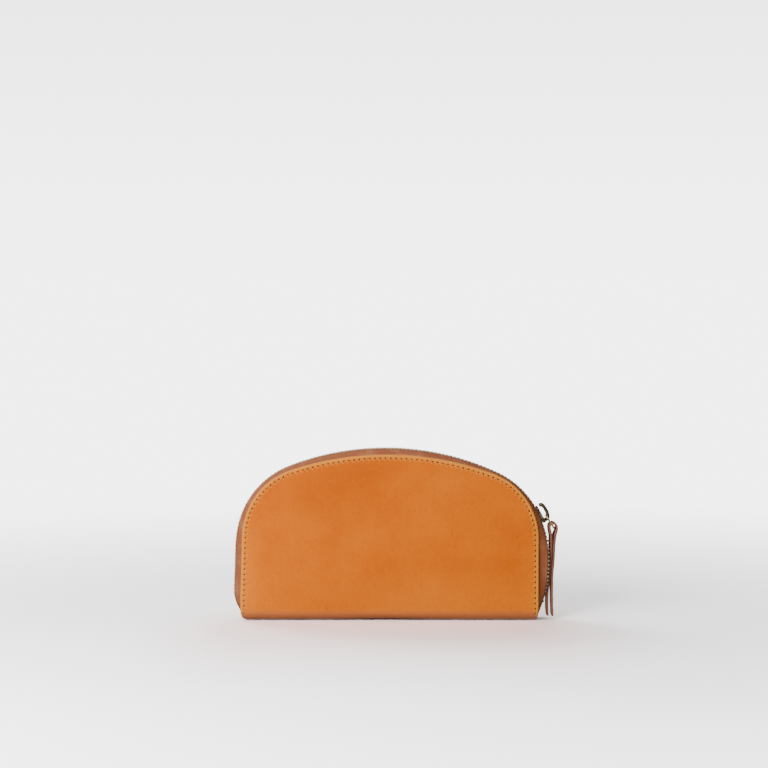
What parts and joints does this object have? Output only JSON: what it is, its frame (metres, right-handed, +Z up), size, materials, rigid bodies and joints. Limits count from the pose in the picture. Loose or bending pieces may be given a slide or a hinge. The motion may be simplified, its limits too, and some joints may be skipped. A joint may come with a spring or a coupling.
{
  "type": "zip-around pouch",
  "caption": "Half-moon leather pouch that stands on its folded base, closed by a metal zip round the arch with a strap pull.",
  "frame": {"origin": "middle of the flat underside of the base", "axes": "+X to the right along the base, towards the zip pull; -Y to the front panel; +Z up"},
  "size_m": [0.2062, 0.028, 0.1097],
  "materials": {
    "tan_leather": "satin, waxed, with edge stitching",
    "pull_leather": "satin, raw edges",
    "lining_leather": "matt",
    "zip_tape": "woven twill",
    "lining_cloth": "plain woven",
    "board": "felt and fibre board",
    "antique_brass": "antiqued, satin",
    "tooth_brass": "satin"
  },
  "bodies": {
    "back_half": {"cover_back": "tan_leather", "base_stiffener": "board", "filler_back": "board", "lining_back": "lining_cloth", "zip_tape_back": "zip_tape", "zip_chain_back": "tooth_brass", "zip_bottom_stop": "antique_brass", "zip_top_stop_back": "antique_brass", "card_slot_upper": "lining_leather", "card_slot_middle": "lining_leather", "card_slot_lower": "lining_leather", "gusset_left": "lining_cloth", "gusset_right": "lining_cloth"},
    "front_half": {"cover_front": "tan_leather", "filler_front": "board", "lining_front": "lining_cloth", "zip_tape_front": "zip_tape", "zip_chain_front": "tooth_brass", "zip_top_stop_front": "antique_brass", "slip_pocket": "lining_leather"},
    "coin_pocket": {"coin_pocket_bag": "lining_cloth", "coin_tape_front": "zip_tape", "coin_tape_back": "zip_tape", "coin_chain_front": "tooth_brass", "coin_chain_back": "tooth_brass"},
    "zip_slider": {"slider_body": "antique_brass"},
    "ring": {"pull_ring": "antique_brass"},
    "strap": {"pull_strap": "pull_leather"},
    "coin_slider": {"coin_slider_body": "antique_brass"},
    "coin_pull": {"coin_pull_tab": "antique_brass"}
  },
  "joints": [
    {"name": "cover_fold", "type": "hinge", "parent": "back_half", "child": "front_half", "pos_m": [0, -0.01114, 0.00146], "axis": [1, 0, 0], "range_deg": [0, 50]},
    {"name": "pocket_lean", "type": "hinge", "parent": "back_half", "child": "coin_pocket", "pos_m": [0, 0, 0.0045], "axis": [1, 0, 0], "range_deg": [0, 25]},
    {"name": "zip_travel", "type": "hinge", "parent": "back_half", "child": "zip_slider", "pos_m": [0.045, 0, 0.04377], "axis": [0, -1, 0], "range_deg": [0, 36]},
    {"name": "ring_swing", "type": "hinge", "parent": "zip_slider", "child": "ring", "pos_m": [0.09943, 0, 0.06577], "axis": [0, -1, 0], "range_deg": [0, 70]},
    {"name": "strap_swing", "type": "hinge", "parent": "ring", "child": "strap", "pos_m": [0.10417, 0, 0.05835], "axis": [0, -1, 0], "range_deg": [0, 60]},
    {"name": "coin_zip_travel", "type": "slide", "parent": "coin_pocket", "child": "coin_slider", "axis": [1, 0, 0], "range_m": [-0.108, 0]},
    {"name": "coin_pull_flip", "type": "hinge", "parent": "coin_slider", "child": "coin_pull", "pos_m": [0.054, 0, 0.0721], "axis": [0, 1, 0], "range_deg": [0, 180]}
  ],
  "couplings": [
    {"joint": "pocket_lean", "follows": "cover_fold", "ratio": 0.5}
  ]
}
